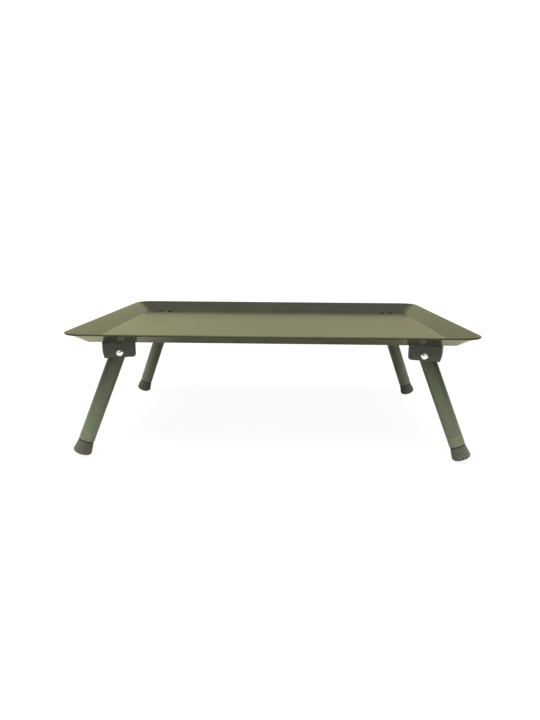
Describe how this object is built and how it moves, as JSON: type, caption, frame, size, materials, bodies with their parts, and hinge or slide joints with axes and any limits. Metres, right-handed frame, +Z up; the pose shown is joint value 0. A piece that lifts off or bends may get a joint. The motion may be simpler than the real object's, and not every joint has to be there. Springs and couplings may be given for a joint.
{
  "type": "folding camp table",
  "caption": "Low folding camp table: a shallow pressed tray with sloping walls on splayed legs with ribbed rubber feet. The legs fold flat under the tray, telescope and lock by a twist.",
  "frame": {"origin": "centre of the bounding box's bottom, on the ground under the middle of the tray, with the legs open", "axes": "+X along the tray's long side, +Y from the front long side to the back one, +Z up"},
  "size_m": [0.4842, 0.355, 0.1556],
  "materials": {
    "tray_paint": "semi-gloss olive green paint with a slight metallic look",
    "bracket_paint": "satin dark green paint",
    "leg_paint": "semi-gloss green paint with a slight metallic look",
    "collar_paint": "semi-gloss green paint with a slight metallic look",
    "bracket_rivet_black": "black coated steel",
    "pivot_rivet_nickel": "bright plated steel",
    "washer_nylon": "natural nylon",
    "inner_tube_aluminium": "bare drawn tube",
    "foot_rubber": "matt moulded rubber",
    "lock_cone_steel": "turned steel",
    "lock_sleeve_nylon": "black nylon"
  },
  "bodies": {
    "table": {"tray": "tray_paint", "bracket_front_left": "bracket_paint", "bracket_rivet_outer_front_left": "bracket_rivet_black", "bracket_rivet_inner_front_left": "bracket_rivet_black", "pivot_rivet_front_left": "pivot_rivet_nickel", "pivot_washer_head_front_left": "washer_nylon", "pivot_washer_tail_front_left": "washer_nylon", "bracket_front_right": "bracket_paint", "bracket_rivet_outer_front_right": "bracket_rivet_black", "bracket_rivet_inner_front_right": "bracket_rivet_black", "pivot_rivet_front_right": "pivot_rivet_nickel", "pivot_washer_head_front_right": "washer_nylon", "pivot_washer_tail_front_right": "washer_nylon", "bracket_back_left": "bracket_paint", "bracket_rivet_outer_back_left": "bracket_rivet_black", "bracket_rivet_inner_back_left": "bracket_rivet_black", "pivot_rivet_back_left": "pivot_rivet_nickel", "pivot_washer_head_back_left": "washer_nylon", "pivot_washer_tail_back_left": "washer_nylon", "bracket_back_right": "bracket_paint", "bracket_rivet_outer_back_right": "bracket_rivet_black", "bracket_rivet_inner_back_right": "bracket_rivet_black", "pivot_rivet_back_right": "pivot_rivet_nickel", "pivot_washer_head_back_right": "washer_nylon", "pivot_washer_tail_back_right": "washer_nylon"},
    "leg_front_left": {"upper_leg_front_left": "leg_paint"},
    "lock_front_left": {"lock_sleeve_front_left": "lock_sleeve_nylon"},
    "extension_front_left": {"lock_cone_front_left": "lock_cone_steel", "lower_leg_front_left": "inner_tube_aluminium", "leg_collar_front_left": "collar_paint", "foot_front_left": "foot_rubber"},
    "leg_front_right": {"upper_leg_front_right": "leg_paint"},
    "lock_front_right": {"lock_sleeve_front_right": "lock_sleeve_nylon"},
    "extension_front_right": {"lock_cone_front_right": "lock_cone_steel", "lower_leg_front_right": "inner_tube_aluminium", "leg_collar_front_right": "collar_paint", "foot_front_right": "foot_rubber"},
    "leg_back_left": {"upper_leg_back_left": "leg_paint"},
    "lock_back_left": {"lock_sleeve_back_left": "lock_sleeve_nylon"},
    "extension_back_left": {"lock_cone_back_left": "lock_cone_steel", "lower_leg_back_left": "inner_tube_aluminium", "leg_collar_back_left": "collar_paint", "foot_back_left": "foot_rubber"},
    "leg_back_right": {"upper_leg_back_right": "leg_paint"},
    "lock_back_right": {"lock_sleeve_back_right": "lock_sleeve_nylon"},
    "extension_back_right": {"lock_cone_back_right": "lock_cone_steel", "lower_leg_back_right": "inner_tube_aluminium", "leg_collar_back_right": "collar_paint", "foot_back_right": "foot_rubber"}
  },
  "joints": [
    {"name": "fold_front_left", "type": "hinge", "parent": "table", "child": "leg_front_left", "pos_m": [-0.185, -0.132, 0.12855], "axis": [0.342, -0.9397, 0], "range_deg": [0, 112]},
    {"name": "slide_front_left", "type": "slide", "parent": "leg_front_left", "child": "lock_front_left", "axis": [-0.352, -0.1281, -0.9272], "range_m": [0, 0.045]},
    {"name": "twist_front_left", "type": "hinge", "parent": "lock_front_left", "child": "extension_front_left", "pos_m": [-0.185, -0.132, 0.12855], "axis": [-0.352, -0.1281, -0.9272], "range_deg": [0, 180]},
    {"name": "fold_front_right", "type": "hinge", "parent": "table", "child": "leg_front_right", "pos_m": [0.185, -0.132, 0.12855], "axis": [0.342, 0.9397, 0], "range_deg": [0, 112]},
    {"name": "slide_front_right", "type": "slide", "parent": "leg_front_right", "child": "lock_front_right", "axis": [0.352, -0.1281, -0.9272], "range_m": [0, 0.045]},
    {"name": "twist_front_right", "type": "hinge", "parent": "lock_front_right", "child": "extension_front_right", "pos_m": [0.185, -0.132, 0.12855], "axis": [0.352, -0.1281, -0.9272], "range_deg": [0, 180]},
    {"name": "fold_back_left", "type": "hinge", "parent": "table", "child": "leg_back_left", "pos_m": [-0.185, 0.132, 0.12855], "axis": [-0.342, -0.9397, 0], "range_deg": [0, 112]},
    {"name": "slide_back_left", "type": "slide", "parent": "leg_back_left", "child": "lock_back_left", "axis": [-0.352, 0.1281, -0.9272], "range_m": [0, 0.045]},
    {"name": "twist_back_left", "type": "hinge", "parent": "lock_back_left", "child": "extension_back_left", "pos_m": [-0.185, 0.132, 0.12855], "axis": [-0.352, 0.1281, -0.9272], "range_deg": [0, 180]},
    {"name": "fold_back_right", "type": "hinge", "parent": "table", "child": "leg_back_right", "pos_m": [0.185, 0.132, 0.12855], "axis": [-0.342, 0.9397, 0], "range_deg": [0, 112]},
    {"name": "slide_back_right", "type": "slide", "parent": "leg_back_right", "child": "lock_back_right", "axis": [0.352, 0.1281, -0.9272], "range_m": [0, 0.045]},
    {"name": "twist_back_right", "type": "hinge", "parent": "lock_back_right", "child": "extension_back_right", "pos_m": [0.185, 0.132, 0.12855], "axis": [0.352, 0.1281, -0.9272], "range_deg": [0, 180]}
  ]
}
